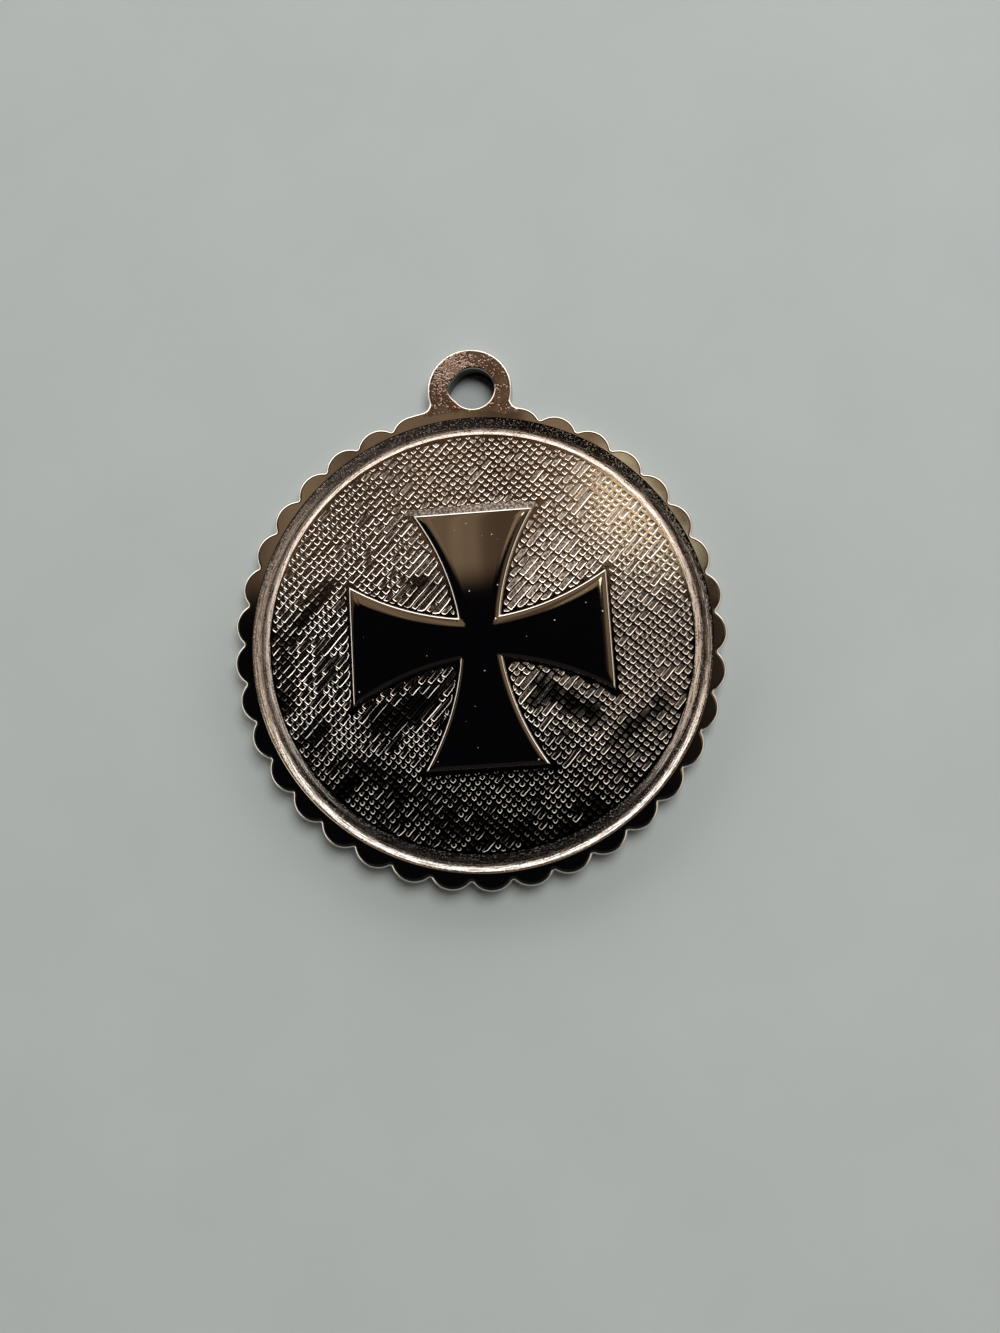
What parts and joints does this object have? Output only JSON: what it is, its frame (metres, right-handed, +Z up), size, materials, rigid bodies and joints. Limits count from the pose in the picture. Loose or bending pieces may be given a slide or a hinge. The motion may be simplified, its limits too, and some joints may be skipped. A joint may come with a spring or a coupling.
{
  "type": "maltese cross pendant",
  "caption": "Round metal pendant with a scalloped edge, a pierced lug, a grooved border and a raised cross with flared arms on a cross-hatched field.",
  "frame": {"origin": "centre of the scalloped disc on its flat back face", "axes": "+Z up out of the front face, +Y from the middle of the disc to the lug, +X to the right seen from the front"},
  "size_m": [0.038, 0.0427, 0.0019],
  "materials": {
    "plated_metal": "bright silver-tone plating on cast zinc alloy, mirror polished on rim and cross, satin in the groove, pressed cross-hatch on the field, with tarnish, fine scratches and worn pitting on the lug"
  },
  "bodies": {
    "root": {"cross_pendant": "plated_metal"}
  },
  "joints": []
}
